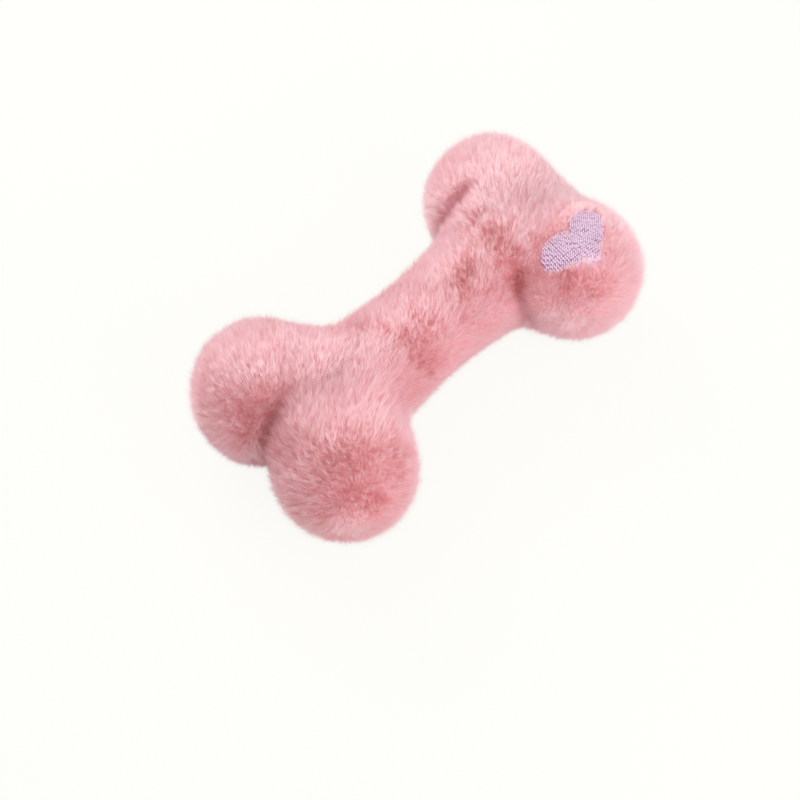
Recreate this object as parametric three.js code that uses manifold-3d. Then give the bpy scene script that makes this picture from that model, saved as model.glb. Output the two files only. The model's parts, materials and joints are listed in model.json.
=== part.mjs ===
// Squeaky plush bone: a waisted shaft with two stuffed lobes at each end, covered in long-pile faux fur.
// An embroidered heart on one lobe presses on a bellows squeaker inside it.
// Millimetres, +Z up, +X along the bone, origin on the floor under its middle.
import * as THREE from "three";
import { mergeVertices } from "three/addons/utils/BufferGeometryUtils.js";
import Module from "manifold-3d";

const wasm = await Module();
wasm.setup();

// Shaft
const neckSpan = 72; // between the two necks, where the ends bend
const neckRadius = 24; // half height of the shaft at a neck, and of the round nose past it
const waistRadius = 21.5; // half height at mid length
const neckHalfWidth = 27; // half width of the shaft at a neck; the waist is as much wider than high

// Lobes, each a pear on an axis that leaves the neck at a slant
const lobeRadius = 32.8;
const lobeReach = 38.7; // from the neck to the lobe's centre, along the bone
const lobeSpread = 52.2; // between the centres of the two lobes of an end
const rootRadius = 20.5; // of the pear's narrow end
const rootReach = 20; // from the neck to the middle of that narrow end, along the lobe's axis
const footDepth = 0.5; // how far each lobe is pressed flat where it stands

// Web of stuffing that fills the valley between the lobes at the heart's end
const webReach = 28; // from the neck to the web's centre, along the bone
const webHalfLength = 37.5;
const webHalfWidth = 20;
const webHalfHeight = 26.5;

// Fur cover
const pileHeight = 5; // of the dense pile, under its loose tips
const backingThickness = 1;
const seamGap = 0.3; // between pieces that touch
const bendGap = 0.6; // between a lobe and the shaft's nose, which turn against each other
const overcut = 1; // how far a cutting tool runs past what it cuts

// Heart and the round pad of cover about it
const heartWidth = 38;
const heartHeight = 29;
const heartTurn = 3; // degrees, from a tip that points straight out at the side
const heartSink = 0.7; // top of the stitches under the top of the pile
const padInset = [-1.2, -1.4]; // from the lobe's centre to the pad's, along and across the bone
const heartShift = [-1, -3.9]; // from the pad's centre to the heart's
const padMargin = 2.3; // cover left about the heart's half width
const pressTravel = 7;
const stabiliserThickness = 0.8; // sheet behind the embroidery
const stabiliserMargin = 1.3; // sheet left about the heart's half width

// Squeaker, upright under the heart
const bellowsRadius = 13;
const bellowsHeight = 16.4;
const bellowsPleats = 4;
const pleatDepth = 2.2;
const bellowsWallThickness = 1;
const baseThickness = 2;
const baseLevel = -11; // underside of the base, from the seam's height
const crownThickness = 2.3;
const crownRise = 1.2; // dome of the crown
const wellGap = 0.8; // room for the bellows in the stuffing

// Whistle in the squeaker's base
const barrelRadius = 4;
const boreRadius = 2.8;
const flangeRadius = 6;
const flangeThickness = 1.2;
const whistleClear = 1.3; // between the whistle and the crown when it is pressed
const clipHeight = 3;
const ductWidth = 2; // air duct beside the reed, through the clip
const reedThickness = 0.3;
const reedWidth = 3.6;

// Facets round a turned form
const softFacets = 24; // covers, stuffing and the pad
const partFacets = 24; // squeaker
const smallFacets = 16; // whistle

const coverThickness = pileHeight + backingThickness;
const axisHeight = lobeRadius - footDepth;
const lobeSide = lobeSpread / 2;
const lobeAxis = Math.hypot(lobeReach, lobeSide);
const lobeSlant = Math.atan2(lobeSide, lobeReach);
const padRadius = heartWidth / 2 + padMargin;
const padAt = [lobeReach + padInset[0], padInset[1] - lobeSide];
const heartAt = [padAt[0] + heartShift[0], padAt[1] + heartShift[1]];
const baseTop = baseLevel + baseThickness;
const bellowsBottom = baseTop + seamGap;
const bellowsTop = bellowsBottom + bellowsHeight;
const crownBottom = bellowsTop + seamGap;
const crownTop = crownBottom + crownThickness + crownRise;
const barrelTop = crownBottom - pressTravel - whistleClear;

// Solids

function solid(geometry) {
  geometry.deleteAttribute("normal");
  geometry.deleteAttribute("uv");
  const merged = mergeVertices(geometry, 1e-4);
  return new wasm.Manifold(
    new wasm.Mesh({
      numProp: 3,
      vertProperties: new Float32Array(merged.attributes.position.array),
      triVerts: new Uint32Array(merged.index.array),
    }),
  );
}

// A profile of [radius, place along the axis] turned about its axis.
function turned(profile, facets) {
  const points = profile.map(([radius, along]) => new THREE.Vector2(radius, along));
  return new THREE.LatheGeometry(points, facets);
}

const turnedAlongX = (profile, facets) => turned(profile, facets).rotateZ(-Math.PI / 2);
const turnedUpright = (profile, facets) => turned(profile, facets).rotateX(Math.PI / 2);

// Points of an arc about a place on the axis, from one angle to another, both measured from the axis.
function arc(centre, radius, from, to, steps) {
  return Array.from({ length: steps + 1 }, (_, i) => {
    const angle = from + ((to - from) * i) / steps;
    const onAxis = Math.abs(Math.sin(angle)) < 1e-9;
    return [onAxis ? 0 : radius * Math.sin(angle), centre + radius * Math.cos(angle)];
  });
}

// A plain upright cylinder about a point of the plan.
function post(radius, bottom, top, at = [0, 0], facets = softFacets) {
  const height = top - bottom;
  const round = new THREE.CylinderGeometry(radius, radius, height, facets);
  return solid(round.rotateX(Math.PI / 2).translate(at[0], at[1], bottom + height / 2));
}

// Everything on one side of a plane across an axis.
function beyond(axis, side, at) {
  const size = 4 * (neckSpan + lobeAxis + lobeRadius);
  const shift = { x: 0, y: 0, z: 0 };
  shift[axis] = at + (side * size) / 2;
  return solid(new THREE.BoxGeometry(size, size, size).translate(shift.x, shift.y, shift.z));
}

const above = beyond("z", 1, seamGap / 2);
const below = beyond("z", -1, -seamGap / 2);
const offFloor = beyond("z", 1, -axisHeight);

// The shaft about the bone's axis, grown outwards by an amount: a waist between two round noses.
// A nose is a turned form about its neck's bend axis too, so a lobe swings round it with an even gap.
function shaftForm(grow) {
  const half = neckSpan / 2;
  const nose = arc(half, neckRadius + grow, Math.PI / 2, 0, 6);
  const farNose = nose.map(([radius, along]) => [radius, -along]).reverse();
  const waistSteps = 6;
  const waist = Array.from({ length: waistSteps - 1 }, (_, i) => {
    const along = -half + (neckSpan * (i + 1)) / waistSteps;
    const swell = (1 - Math.cos((Math.PI * along) / half)) / 2;
    return [waistRadius + (neckRadius - waistRadius) * swell + grow, along];
  });
  const form = turnedAlongX([...farNose, ...waist, ...nose], softFacets);
  return solid(form.scale(1, neckHalfWidth / neckRadius, 1));
}

// The web in its end's frame: an egg that lies along the bone.
function webForm(grow) {
  const ball = turnedAlongX(arc(0, 1, Math.PI, 0, 12), softFacets);
  const egg = ball.scale(webHalfLength + grow, webHalfWidth + grow, webHalfHeight + grow);
  return solid(egg.translate(webReach, 0, 0));
}

// A lobe in its end's frame, whose origin is the neck: side is 1 or -1 across the bone.
function lobeForm(side, grow, webbed = false) {
  const root = rootRadius + grow;
  const ball = lobeRadius + grow;
  const flare = Math.PI / 2 + Math.asin((ball - root) / (lobeAxis - rootReach));
  const profile = [...arc(rootReach, root, Math.PI, flare, 3), ...arc(lobeAxis, ball, flare, 0, 8)];
  const pear = solid(turnedAlongX(profile, softFacets).rotateZ(side * lobeSlant));
  const form = webbed ? pear.add(webForm(grow)) : pear;
  return form.intersect(beyond("y", side, (side * seamGap) / 2)).intersect(offFloor);
}

// A heart in plan about a point, with its tip turned from straight out.
function heartForm(grow) {
  const w = heartWidth / 2 + grow;
  const h = heartHeight / 2 + grow;
  const notch = 0.68 * h;
  const outline = new THREE.Shape();
  outline.moveTo(0, notch);
  outline.bezierCurveTo(0.22 * w, 1.12 * h, w, 1.12 * h, w, 0.3 * h);
  outline.bezierCurveTo(w, -0.2 * h, 0.3 * w, -0.55 * h, 0, -h);
  outline.bezierCurveTo(-0.3 * w, -0.55 * h, -w, -0.2 * h, -w, 0.3 * h);
  outline.bezierCurveTo(-w, 1.12 * h, -0.22 * w, 1.12 * h, 0, notch);
  const depth = 2 * lobeRadius;
  const block = new THREE.ExtrudeGeometry(outline, { depth, bevelEnabled: false, curveSegments: 7 });
  return solid(block.rotateZ((heartTurn * Math.PI) / 180).translate(heartAt[0], heartAt[1], 0));
}

// Scene

const finish = (color, roughness) => new THREE.MeshStandardMaterial({ color, roughness, metalness: 0 });
const furPink = finish(0xe5a9ae, 0.95);
const threadLilac = finish(0xe1bad4, 0.6);
const stabiliserWhite = finish(0xf3f1ee, 0.9);
const fibreWhite = finish(0xf6f4ef, 1);
const squeakerWhite = finish(0xeeece6, 0.45);
const whistleBlue = finish(0x9fb8cf, 0.4);
const reedClear = finish(0xd9d6cc, 0.3);

const bone = new THREE.Group();

function group(parent, x, y, z, turn = 0) {
  const made = new THREE.Group();
  made.position.set(x, y, z);
  made.rotation.z = turn;
  parent.add(made);
  return made;
}

function piece(parent, name, form, material) {
  const { vertProperties, triVerts } = form.getMesh();
  const geometry = new THREE.BufferGeometry();
  geometry.setAttribute("position", new THREE.BufferAttribute(vertProperties, 3));
  geometry.setIndex(new THREE.BufferAttribute(triVerts, 1));
  geometry.computeVertexNormals();
  const mesh = new THREE.Mesh(geometry, material);
  mesh.name = name;
  parent.add(mesh);
}

// Shaft: two fur covers that meet at the seam, round one core of stuffing

const shaft = group(bone, 0, 0, axisHeight);
const shaftCover = shaftForm(0).subtract(shaftForm(-coverThickness));
piece(shaft, "shaft_cover_top", shaftCover.intersect(above), furPink);
piece(shaft, "shaft_cover_bottom", shaftCover.intersect(below), furPink);
piece(shaft, "shaft_filling", shaftForm(-coverThickness - seamGap), fibreWhite);

// Ends: two lobes each, cut to fit round the shaft's nose

const rightEnd = group(bone, neckSpan / 2, 0, axisHeight);
const leftEnd = group(bone, -neckSpan / 2, 0, axisHeight, Math.PI);
const noseRoom = shaftForm(bendGap).translate([-neckSpan / 2, 0, 0]);

const lobeCover = (side, webbed) =>
  lobeForm(side, 0, webbed).subtract(lobeForm(side, -coverThickness, webbed)).subtract(noseRoom);
const lobeFilling = (side, webbed) =>
  lobeForm(side, -coverThickness - seamGap, webbed).subtract(noseRoom);

function plainLobe(end, name, side, webbed) {
  const cover = lobeCover(side, webbed);
  piece(end, name + "_cover_top", cover.intersect(above), furPink);
  piece(end, name + "_cover_bottom", cover.intersect(below), furPink);
  piece(end, name + "_filling", lobeFilling(side, webbed), fibreWhite);
}

plainLobe(rightEnd, "right_rear", 1, true);
plainLobe(leftEnd, "left_front", 1, false);
plainLobe(leftEnd, "left_rear", -1, false);

// Heart lobe: its cover has a round pad that is pressed in, and its stuffing a well for the squeaker

const heartSide = -1;
const heartCover = lobeCover(heartSide, true);
const heartCoverTop = heartCover.intersect(above);
const padPost = post(padRadius, 0, 2 * lobeRadius, padAt);
const padHole = post(padRadius + seamGap, 0, 2 * lobeRadius, padAt);
piece(rightEnd, "heart_lobe_cover_top", heartCoverTop.subtract(padHole), furPink);
piece(rightEnd, "heart_lobe_cover_bottom", heartCover.intersect(below), furPink);

const heartPocket = heartForm(seamGap).subtract(lobeForm(heartSide, -pileHeight));
piece(rightEnd, "heart_pad", heartCoverTop.intersect(padPost).subtract(heartPocket), furPink);

const stitchTop = lobeForm(heartSide, -heartSink);
const stitchFoot = lobeForm(heartSide, seamGap - pileHeight);
piece(rightEnd, "heart_patch", heartForm(0).intersect(stitchTop).subtract(stitchFoot), threadLilac);

// Under the pad: the stabiliser follows the cover, and a plug of stuffing stands on the squeaker's crown.
const stabiliserTop = -coverThickness - seamGap;
const stabiliserFoot = stabiliserTop - stabiliserThickness;
const stabiliser = lobeForm(heartSide, stabiliserTop)
  .subtract(lobeForm(heartSide, stabiliserFoot))
  .intersect(post(heartWidth / 2 + stabiliserMargin, 0, lobeRadius, padAt));
piece(rightEnd, "heart_backing", stabiliser, stabiliserWhite);

const underPad = lobeForm(heartSide, stabiliserFoot - seamGap);
const plug = post(bellowsRadius, crownTop + seamGap, lobeRadius, padAt).intersect(underPad);
piece(rightEnd, "press_filling", plug, fibreWhite);

const flangeTop = baseLevel - seamGap;
const flangeFoot = flangeTop - flangeThickness;
const padRoom = padHole.subtract(underPad.translate([0, 0, -pressTravel]));
const well = padRoom
  .add(post(bellowsRadius + wellGap, baseLevel - seamGap, lobeRadius, padAt))
  .add(post(flangeRadius + seamGap, flangeFoot - seamGap, lobeRadius, padAt));
piece(rightEnd, "heart_lobe_filling", lobeFilling(heartSide, true).subtract(well), fibreWhite);

// Squeaker: a pleated bellows between a domed crown and a flat base that holds the whistle

const squeaker = group(rightEnd, padAt[0], padAt[1], 0);

const domeRadius = (bellowsRadius ** 2 + crownRise ** 2) / (2 * crownRise);
const domeAngle = Math.asin(bellowsRadius / domeRadius);
const dome = arc(crownTop - domeRadius, domeRadius, domeAngle, 0, 4);
const crown = [[0, crownBottom], [bellowsRadius, crownBottom], ...dome];
piece(squeaker, "bellows_crown", solid(turnedUpright(crown, partFacets)), squeakerWhite);

const folds = Array.from({ length: 2 * bellowsPleats + 1 }, (_, i) => [
  bellowsRadius - (i % 2 ? pleatDepth : 0),
  bellowsBottom + (bellowsHeight * i) / (2 * bellowsPleats),
]);
const insideFolds = folds.map(([radius, level]) => [radius - bellowsWallThickness, level]).reverse();
const bellows = [...folds, ...insideFolds, folds[0]];
piece(squeaker, "bellows_wall", solid(turnedUpright(bellows, partFacets)), squeakerWhite);

const base = post(bellowsRadius, baseLevel, baseTop)
  .subtract(post(barrelRadius + seamGap, baseLevel - overcut, baseTop + overcut, [0, 0], smallFacets));
piece(squeaker, "squeaker_base", base, squeakerWhite);

const barrel = [
  [boreRadius, flangeFoot],
  [flangeRadius, flangeFoot],
  [flangeRadius, flangeTop],
  [barrelRadius, flangeTop],
  [barrelRadius, barrelTop],
  [boreRadius, barrelTop],
  [boreRadius, flangeFoot],
];
piece(squeaker, "whistle_barrel", solid(turnedUpright(barrel, smallFacets)), whistleBlue);

// The clip fills the bore's foot, with a slot that grips the reed and a duct for the air beside it.
const clipFoot = flangeFoot;
const clipTop = clipFoot + clipHeight;
const slab = (x, y, bottom, top, shiftY = 0) =>
  solid(new THREE.BoxGeometry(x, y, top - bottom).translate(0, shiftY, (top + bottom) / 2));
const clip = post(boreRadius - seamGap, clipFoot, clipTop, [0, 0], smallFacets)
  .subtract(slab(reedWidth + 2 * seamGap, reedThickness + 2 * seamGap, clipFoot + seamGap, clipTop + overcut))
  .subtract(slab(ductWidth, boreRadius, clipFoot - overcut, clipTop + overcut, boreRadius));
piece(squeaker, "reed_clip", clip, whistleBlue);

const reedFoot = clipFoot + 2 * seamGap;
const reedTop = barrelTop - seamGap;
piece(squeaker, "reed_tongue", slab(reedWidth, reedThickness, reedFoot, reedTop), reedClear);

export default bone;
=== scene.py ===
import json
import math
import random

import bmesh
import bpy
import numpy as np
from mathutils import Matrix, Vector, geometry, noise
from mathutils.bvhtree import BVHTree

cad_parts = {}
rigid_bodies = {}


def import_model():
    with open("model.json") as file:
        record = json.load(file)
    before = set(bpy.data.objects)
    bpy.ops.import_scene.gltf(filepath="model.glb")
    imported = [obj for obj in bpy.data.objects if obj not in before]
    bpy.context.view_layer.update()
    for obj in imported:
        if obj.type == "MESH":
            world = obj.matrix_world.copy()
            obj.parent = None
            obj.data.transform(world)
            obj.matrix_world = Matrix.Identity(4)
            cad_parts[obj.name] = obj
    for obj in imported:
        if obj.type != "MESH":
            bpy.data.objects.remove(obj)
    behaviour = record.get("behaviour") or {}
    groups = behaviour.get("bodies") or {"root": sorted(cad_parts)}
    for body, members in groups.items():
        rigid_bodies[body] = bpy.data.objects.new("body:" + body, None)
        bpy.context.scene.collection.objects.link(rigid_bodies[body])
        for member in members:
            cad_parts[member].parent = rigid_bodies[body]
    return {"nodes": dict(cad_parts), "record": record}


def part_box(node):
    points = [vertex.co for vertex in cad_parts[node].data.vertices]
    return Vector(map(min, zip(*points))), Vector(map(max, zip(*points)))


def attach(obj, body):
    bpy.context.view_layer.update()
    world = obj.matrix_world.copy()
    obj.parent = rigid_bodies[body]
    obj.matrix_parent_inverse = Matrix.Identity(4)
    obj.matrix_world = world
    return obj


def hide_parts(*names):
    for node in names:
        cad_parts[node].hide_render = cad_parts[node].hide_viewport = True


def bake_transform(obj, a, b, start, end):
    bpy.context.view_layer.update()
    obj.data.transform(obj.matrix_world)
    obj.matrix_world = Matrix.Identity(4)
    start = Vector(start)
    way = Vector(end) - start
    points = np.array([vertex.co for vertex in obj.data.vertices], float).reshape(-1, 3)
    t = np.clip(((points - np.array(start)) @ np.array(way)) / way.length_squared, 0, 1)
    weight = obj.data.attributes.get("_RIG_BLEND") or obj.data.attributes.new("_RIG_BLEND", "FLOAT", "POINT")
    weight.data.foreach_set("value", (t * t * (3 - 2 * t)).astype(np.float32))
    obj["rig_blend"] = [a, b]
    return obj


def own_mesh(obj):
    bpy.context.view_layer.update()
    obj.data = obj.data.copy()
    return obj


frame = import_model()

mm = 0.001
weld = 0.001 * mm  # points nearer than this are one
scene = bpy.context.scene
scene.view_settings.view_transform = "Standard"
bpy.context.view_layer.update()  # the bare solids, brought up to date
print("frame loaded:", len(frame["nodes"]), "nodes")


# Helpers

def linearColour(code):
    channels = [int(code[i:i + 2], 16) / 255 for i in (1, 3, 5)]
    linear = [c / 12.92 if c <= 0.04045 else ((c + 0.055) / 1.055) ** 2.4 for c in channels]
    return (*linear, 1.0)


def addNode(tree, kind, settings=None, inputs=None):
    node = tree.nodes.new(kind)
    for name, value in (settings or {}).items():
        setattr(node, name, value)
    for name, value in (inputs or {}).items():
        if isinstance(value, bpy.types.NodeSocket):
            tree.links.new(value, node.inputs[name])
        else:
            node.inputs[name].default_value = value
    return node


def setRamp(node, stops):
    ramp = node.color_ramp
    while len(ramp.elements) < len(stops):
        ramp.elements.new(1.0)
    for element, (place, code) in zip(ramp.elements, stops):
        element.position = place
        element.color = linearColour(code)


def newMaterial(name):
    material = bpy.data.materials.new(name)
    material.use_nodes = True
    material.node_tree.nodes.clear()
    return material, material.node_tree


def showSurface(tree, shader):
    addNode(tree, "ShaderNodeOutputMaterial", inputs={"Surface": shader.outputs[0]})


# A finish whose colour, and relief where it has one, follow one pattern on the piece
def patternedFinish(name, texture, pattern, stops, finish, relief=None, settings=None):
    material, tree = newMaterial(name)
    place = addNode(tree, "ShaderNodeTexCoord")
    drawn = addNode(tree, texture, settings, {"Vector": place.outputs["Object"], **pattern})
    level = drawn.outputs["Distance" if texture.endswith("Voronoi") else "Fac"]
    shade = addNode(tree, "ShaderNodeValToRGB", inputs={"Fac": level})
    setRamp(shade, stops)
    inputs = {"Base Color": shade.outputs["Color"], **finish}
    if relief:
        strength, depth = relief
        bump = addNode(tree, "ShaderNodeBump", inputs={
            "Height": level, "Strength": strength, "Distance": depth * mm})
        inputs["Normal"] = bump.outputs["Normal"]
    showSurface(tree, addNode(tree, "ShaderNodeBsdfPrincipled", inputs=inputs))
    return material


def newPiece(name, mesh, material):
    mesh.materials.clear()
    mesh.materials.append(material)
    piece = bpy.data.objects.new(name, mesh)
    scene.collection.objects.link(piece)
    return piece


def meshFrom(bm, name):
    mesh = bpy.data.meshes.new(name)
    bm.to_mesh(mesh)
    bm.free()
    mesh.shade_smooth()
    return mesh


def evaluatedMesh(obj):
    return bpy.data.meshes.new_from_object(obj.evaluated_get(bpy.context.evaluated_depsgraph_get()))


def smoothStep(low, high, value):
    share = min(1.0, max(0.0, (value - low) / (high - low)))
    return share * share * (3 - 2 * share)


def relax(bm, verts):
    bmesh.ops.smooth_vert(bm, verts=verts, factor=0.5, use_axis_x=True, use_axis_y=True, use_axis_z=True)


# Camera, where the photographer stood

shot = {
    "azimuth": -44.76,
    "elevation": 60.33,
    "distance": 735.5,      # mm from the aim
    "aim": (-34.0, -19.9, 33.0),
    "lens": 73.7,
}


def makeCamera():
    turn, rise = math.radians(shot["azimuth"]), math.radians(shot["elevation"])
    back = Vector((math.sin(turn) * math.cos(rise), -math.cos(turn) * math.cos(rise), math.sin(rise)))
    data = bpy.data.cameras.new("photoCamera")
    data.lens = shot["lens"]
    camera = bpy.data.objects.new("photoCamera", data)
    camera.location = (Vector(shot["aim"]) + back * shot["distance"]) * mm
    camera.rotation_mode = "QUATERNION"
    camera.rotation_quaternion = (-back).to_track_quat("-Z", "Y")
    scene.collection.objects.link(camera)
    scene.camera = camera


makeCamera()
print("camera set")


# Materials

# Faux fur pile, modacrylic: fine dyed fibres, deep dusty pink at the roots and pale at the tips.
# Each strand has its own narrow stripe of the strand map, deeper on the left and paler on the right.
pileLook = {
    "stops": [(0.0, "#efb2b5"), (0.4, "#fbd2d7"), (0.8, "#ffe4e9"), (1.0, "#fff3f7")],
    "dyeAndShade": [(0.0, "#e8b8b7"), (0.4, "#fbf0f1"), (0.7, "#fffefe"), (1.0, "#ffffff")],
    "through": 0.75,         # share of the light that goes through a fibre
    "glow": "#fff8fa",
    "roughness": 0.62,
    "sheen": 0.6,
}


def furPile():
    material, tree = newMaterial("modacrylicPile")
    place = addNode(tree, "ShaderNodeUVMap", {"uv_map": "strandMap"})
    parts = addNode(tree, "ShaderNodeSeparateXYZ", inputs={"Vector": place.outputs["UV"]})
    along = addNode(tree, "ShaderNodeValToRGB", inputs={"Fac": parts.outputs["Y"]})
    setRamp(along, pileLook["stops"])
    # the tone across the map holds the fibres' own tone and, from the lay, painted shade in folds, partings
    # and behind the heart and painted light towards the heart's end
    dyeAndShade = addNode(tree, "ShaderNodeValToRGB", inputs={"Fac": parts.outputs["X"]})
    setRamp(dyeAndShade, pileLook["dyeAndShade"])
    dyed = addNode(tree, "ShaderNodeMix", {"data_type": "RGBA", "blend_type": "MULTIPLY"},
                   {0: 1.0, 6: along.outputs["Color"], 7: dyeAndShade.outputs["Color"]})
    shader = addNode(tree, "ShaderNodeBsdfPrincipled", inputs={
        "Base Color": dyed.outputs[2], "Roughness": pileLook["roughness"], "IOR": 1.45,
        "Specular IOR Level": 0.25, "Sheen Weight": pileLook["sheen"], "Sheen Roughness": 0.5,
        "Sheen Tint": linearColour("#fbdfe3")})
    through = addNode(tree, "ShaderNodeMix", {"data_type": "RGBA", "blend_type": "MULTIPLY"},
                      {0: 1.0, 6: linearColour(pileLook["glow"]), 7: dyeAndShade.outputs["Color"]})
    glow = addNode(tree, "ShaderNodeBsdfTranslucent", inputs={"Color": through.outputs[2]})
    fibre = addNode(tree, "ShaderNodeMixShader", inputs={
        0: pileLook["through"], 1: shader.outputs[0], 2: glow.outputs[0]})
    showSurface(tree, fibre)
    return material


# Knitted backing of the fur fabric: matt and deep pink, seen only where the pile parts.
backingLook = {"dark": "#f0b2b9", "light": "#f8c8cd", "loop": 1.4}


def knitBacking():
    return patternedFinish(
        "knitBacking", "ShaderNodeTexVoronoi", {"Scale": 1 / (backingLook["loop"] * mm)},
        [(0.0, backingLook["light"]), (0.8, backingLook["dark"])], {"Roughness": 0.9}, (0.5, 0.3))


# Skin: the stuffed fabric body that the pile stands on

skinMake = {
    "voxel": 4.0,
    "depth": 2.0,           # of the fabric under the top of the dense pile
    "offsetSteps": 4,
    "pressure": 3000.0,     # of the stuffing
    "quality": 8,
    "frames": 6,
    "pushOut": 2.4,         # most that the stuffing pushes a point out, or lets it draw in
    "drawIn": 0.3,
    "cut": 28.0,            # where the shaft's skin meets an end's
    "bendEnd": 46.0,        # from here an end moves as one
}


def solidsTogether():
    bm = bmesh.new()
    for node in frame["nodes"].values():
        bm.from_mesh(node.data)
    bmesh.ops.remove_doubles(bm, verts=bm.verts, dist=weld)
    return bm


def outerIsland(bm):
    start = max(bm.verts, key=lambda v: v.co.x)
    island, edge = {start}, [start]
    while edge:
        for link in edge.pop().link_edges:
            for vert in link.verts:
                if vert not in island:
                    island.add(vert)
                    edge.append(vert)
    bmesh.ops.delete(bm, geom=list(set(bm.verts) - island), context="VERTS")


def remeshed(bm, voxel):
    raw = newPiece("rawBody", meshFrom(bm, "rawBody"), bpy.data.materials.new("rawBody"))
    remesh = raw.modifiers.new("remesh", "REMESH")
    remesh.mode = "VOXEL"
    remesh.voxel_size = voxel * mm
    mesh = evaluatedMesh(raw)
    bpy.data.objects.remove(raw)
    return mesh


def readVectors(items, name):
    values = np.empty(len(items) * 3, np.float32)
    items.foreach_get(name, values)
    return values.reshape(-1, 3)


def stuffed(mesh):
    start, outward = readVectors(mesh.vertices, "co"), readVectors(mesh.vertex_normals, "vector")
    body = newPiece("stuffedBody", mesh, bpy.data.materials.new("stuffedBody"))
    cloth = body.modifiers.new("stuffing", "CLOTH")
    cloth.settings.quality = skinMake["quality"]
    cloth.settings.use_pressure = True
    cloth.settings.uniform_pressure_force = skinMake["pressure"]
    cloth.settings.effector_weights.gravity = 0
    cloth.point_cache.frame_end = skinMake["frames"]
    for step in range(1, skinMake["frames"] + 1):
        scene.frame_set(step)
    swollen = evaluatedMesh(body)
    push = ((readVectors(swollen.vertices, "co") - start) * outward).sum(axis=1, keepdims=True)
    push = np.clip(push, -skinMake["drawIn"] * mm, skinMake["pushOut"] * mm)
    scene.frame_set(1)
    bpy.data.objects.remove(body)
    swollen.vertices.foreach_set("co", (start + outward * push).ravel())
    return swollen


# Folds where the fabric is drawn in between two forms, and swells where the stuffing lies full between
# the lobes
folds = {
    "lines": [              # depth in the middle, and the points that it runs through
        (2.5, [(-76.0, 8.0, 55.0), (-84.0, 5.0, 51.0), (-92.0, 4.0, 41.0), (-95.0, 5.0, 25.0)]),
        (4.5, [(41.0, 30.0, 29.0), (45.0, 32.0, 39.0), (51.0, 30.0, 50.0), (58.0, 28.0, 56.0)]),
        (5.0, [(43.0, -17.0, 48.0), (41.0, -22.0, 42.0), (40.0, -26.0, 36.0), (42.0, -29.0, 25.0)]),
    ],
    "reach": 4.5,
    "swells": [             # place, reach and height
        ((54.0, 2.0, 55.0), 26.0, 3.5),
        ((45.0, -9.0, 53.0), 13.0, 3.0),
        ((47.0, -32.0, 44.0), 13.0, 3.0),
        ((98.0, 3.0, 42.0), 17.0, 4.5),
        ((-52.0, -10.0, 50.0), 24.0, 3.0),
        ((-50.0, 14.0, 49.0), 19.0, 5.0),
        ((-61.0, 6.0, 53.0), 17.0, 5.0),
        ((-77.0, -4.0, 52.0), 17.0, 5.0),
        ((-89.0, -5.0, 44.0), 13.0, 4.0),
    ],
    "full": 0.6,            # mm: a point that swells by more than this is smoothed as well
    "smoothings": 20,
}


def offLine(place, line):
    gaps = []
    for start, end in zip(line, line[1:]):
        nearest, share = geometry.intersect_point_line(place, start, end)
        if not 0 < share < 1:
            nearest = Vector(start if share <= 0 else end)
        gaps.append((place - nearest).length)
    return min(gaps)


def foldDepth(place):
    depths = []
    for depth, line in folds["lines"]:
        depths.append(depth * math.exp(-(offLine(place, line) / folds["reach"]) ** 2))
    return max(depths)


def shapeFolds(bm):
    bm.normal_update()
    shifts, full = {}, []
    for vert in bm.verts:
        place = vert.co / mm
        rise = -foldDepth(place)
        for spot, reach, height in folds["swells"]:
            rise += height * (1 - smoothStep(0.0, 1.0, (place - Vector(spot)).length / reach))
        shifts[vert] = vert.normal * rise * mm
        if rise > folds["full"]:
            full.append(vert)
    for vert, shift in shifts.items():
        vert.co += shift
    for _ in range(folds["smoothings"]):
        relax(bm, full)
    bm.normal_update()


def makeSkin():
    mesh = remeshed(solidsTogether(), skinMake["voxel"])
    bm = bmesh.new()
    bm.from_mesh(mesh)
    outerIsland(bm)
    step = skinMake["depth"] * mm / skinMake["offsetSteps"]
    for _ in range(skinMake["offsetSteps"]):
        bm.normal_update()
        inward = {v: v.normal * -step for v in bm.verts}
        for vert, shift in inward.items():
            vert.co += shift
        relax(bm, bm.verts)
    mesh = meshFrom(bm, "body")
    mesh = stuffed(mesh)
    body = newPiece("body", mesh, bpy.data.materials.new("body"))
    finer = body.modifiers.new("finer", "SUBSURF")
    finer.levels = finer.render_levels = 1
    mesh = evaluatedMesh(body)
    bpy.data.objects.remove(body)
    bm = bmesh.new()
    bm.from_mesh(mesh)
    shapeFolds(bm)
    return bm


skin = makeSkin()
print("skin stuffed:", len(skin.faces), "faces")


# Where the regions of the skin lie, taken from the solids

padLow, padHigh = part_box("heart_pad")
padAt = (padLow + padHigh) / 2
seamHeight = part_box("heart_lobe_cover_bottom")[1].z

# The pad about the heart, held to the press in a six-sided middle and giving in a soft rim of six sectors,
# with room left about it in the stuffing
pad = {"sides": 6, "hold": 20.0, "soft": 5.0, "room": 3.0}
joints = {joint["name"]: joint for joint in frame["record"]["behaviour"]["joints"]}
pressTravel = joints["heart_press"]["range_m"][1]
padSides = [Vector((math.cos(a), math.sin(a))) for a in
            (2 * math.pi * (k + 0.5) / pad["sides"] for k in range(pad["sides"]))]


def padReach(point):
    reaches = [(point - padAt).xy.dot(side) / mm for side in padSides]
    reach = max(reaches)
    return reach, reaches.index(reach)


def cutAcross(bm, faces, at, normal):
    parts = {part for face in faces for part in (face, *face.edges, *face.verts)}
    bmesh.ops.bisect_plane(bm, geom=list(parts), dist=0.01 * mm, plane_co=at, plane_no=normal)


def rimFaces(bm, sides):
    low, high = pad["hold"] - pad["soft"], pad["hold"] + 2 * pad["soft"]
    found = []
    for face in bm.faces:
        at = face.calc_center_median()
        reach, side = padReach(at)
        if at.z > seamHeight and low < reach < high and side in sides:
            found.append(face)
    return found


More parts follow.
